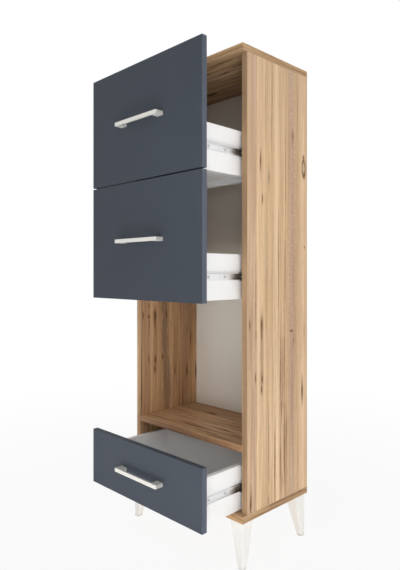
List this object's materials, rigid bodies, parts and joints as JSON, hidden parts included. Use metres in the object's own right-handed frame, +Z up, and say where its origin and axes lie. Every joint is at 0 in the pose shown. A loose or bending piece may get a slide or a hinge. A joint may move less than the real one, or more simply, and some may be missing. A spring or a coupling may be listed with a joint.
{
  "type": "storage cabinet",
  "caption": "Tall narrow storage cabinet on tapered legs, with full-width drawers on ball-bearing slides above and below an open niche, all standing pulled out.",
  "frame": {"origin": "on the floor, under the middle of the space that the cabinet takes with its drawers pulled out as modelled", "axes": "+X to the right when facing the fronts, +Y from the fronts to the back, +Z up from the floor"},
  "size_m": [0.45, 0.447, 1.325],
  "materials": {
    "wood_board": "laminated board with a brown, knotty wood grain, satin",
    "back_board": "thin fibreboard, plain grey-beige face, matt",
    "front_laminate": "laminated board in plain anthracite blue-grey, fine-textured matt",
    "white_board": "laminated board in plain white, satin",
    "dowel_wood": "bare beech",
    "leg_plastic": "moulded white plastic, fine-textured",
    "handle_metal": "satin, slightly warm grey metal",
    "slide_steel": "bright zinc-plated sheet steel",
    "cage_steel": "dark, oiled steel balls and strip",
    "zinc_fitting": "zinc-plated"
  },
  "bodies": {
    "carcass": {"side_panel_left": "wood_board", "side_panel_right": "wood_board", "top_board": "wood_board", "bottom_board": "wood_board", "niche_shelf": "wood_board", "back_panel": "back_board", "carcass_dowels": "dowel_wood", "carcass_cam_fittings": "zinc_fitting", "leg_front_left": "leg_plastic", "leg_front_right": "leg_plastic", "leg_rear_left": "leg_plastic", "leg_rear_right": "leg_plastic", "leg_bolts": "zinc_fitting", "upper_track_left": "slide_steel", "upper_track_right": "slide_steel", "middle_track_left": "slide_steel", "middle_track_right": "slide_steel", "lower_track_left": "slide_steel", "lower_track_right": "slide_steel", "track_screws": "zinc_fitting"},
    "upper_drawer": {"upper_front": "front_laminate", "upper_wall_left": "white_board", "upper_wall_right": "white_board", "upper_wall_rear": "white_board", "upper_bottom": "white_board", "upper_cam_fittings": "zinc_fitting", "upper_wall_screws": "zinc_fitting", "upper_handle": "handle_metal", "upper_handle_screws": "zinc_fitting", "upper_rail_left": "slide_steel", "upper_rail_right": "slide_steel", "upper_rail_screws": "zinc_fitting"},
    "upper_cages": {"upper_ball_cages": "cage_steel"},
    "middle_drawer": {"middle_front": "front_laminate", "middle_wall_left": "white_board", "middle_wall_right": "white_board", "middle_wall_rear": "white_board", "middle_bottom": "white_board", "middle_cam_fittings": "zinc_fitting", "middle_wall_screws": "zinc_fitting", "middle_handle": "handle_metal", "middle_handle_screws": "zinc_fitting", "middle_rail_left": "slide_steel", "middle_rail_right": "slide_steel", "middle_rail_screws": "zinc_fitting"},
    "middle_cages": {"middle_ball_cages": "cage_steel"},
    "lower_drawer": {"lower_front": "front_laminate", "lower_wall_left": "white_board", "lower_wall_right": "white_board", "lower_wall_rear": "white_board", "lower_bottom": "white_board", "lower_cam_fittings": "zinc_fitting", "lower_wall_screws": "zinc_fitting", "lower_handle": "handle_metal", "lower_handle_screws": "zinc_fitting", "lower_rail_left": "slide_steel", "lower_rail_right": "slide_steel", "lower_rail_screws": "zinc_fitting"},
    "lower_cages": {"lower_ball_cages": "cage_steel"}
  },
  "joints": [
    {"name": "upper_drawer_slide", "type": "slide", "parent": "carcass", "child": "upper_drawer", "axis": [0, -1, 0], "range_m": [-0.143, 0.007]},
    {"name": "upper_cage_slide", "type": "slide", "parent": "carcass", "child": "upper_cages", "axis": [0, -1, 0], "range_m": [-0.0715, 0.0035]},
    {"name": "middle_drawer_slide", "type": "slide", "parent": "carcass", "child": "middle_drawer", "axis": [0, -1, 0], "range_m": [-0.143, 0.007]},
    {"name": "middle_cage_slide", "type": "slide", "parent": "carcass", "child": "middle_cages", "axis": [0, -1, 0], "range_m": [-0.0715, 0.0035]},
    {"name": "lower_drawer_slide", "type": "slide", "parent": "carcass", "child": "lower_drawer", "axis": [0, -1, 0], "range_m": [-0.143, 0.007]},
    {"name": "lower_cage_slide", "type": "slide", "parent": "carcass", "child": "lower_cages", "axis": [0, -1, 0], "range_m": [-0.0715, 0.0035]}
  ],
  "couplings": [
    {"joint": "upper_cage_slide", "follows": "upper_drawer_slide", "ratio": 0.5},
    {"joint": "middle_cage_slide", "follows": "middle_drawer_slide", "ratio": 0.5},
    {"joint": "lower_cage_slide", "follows": "lower_drawer_slide", "ratio": 0.5}
  ]
}
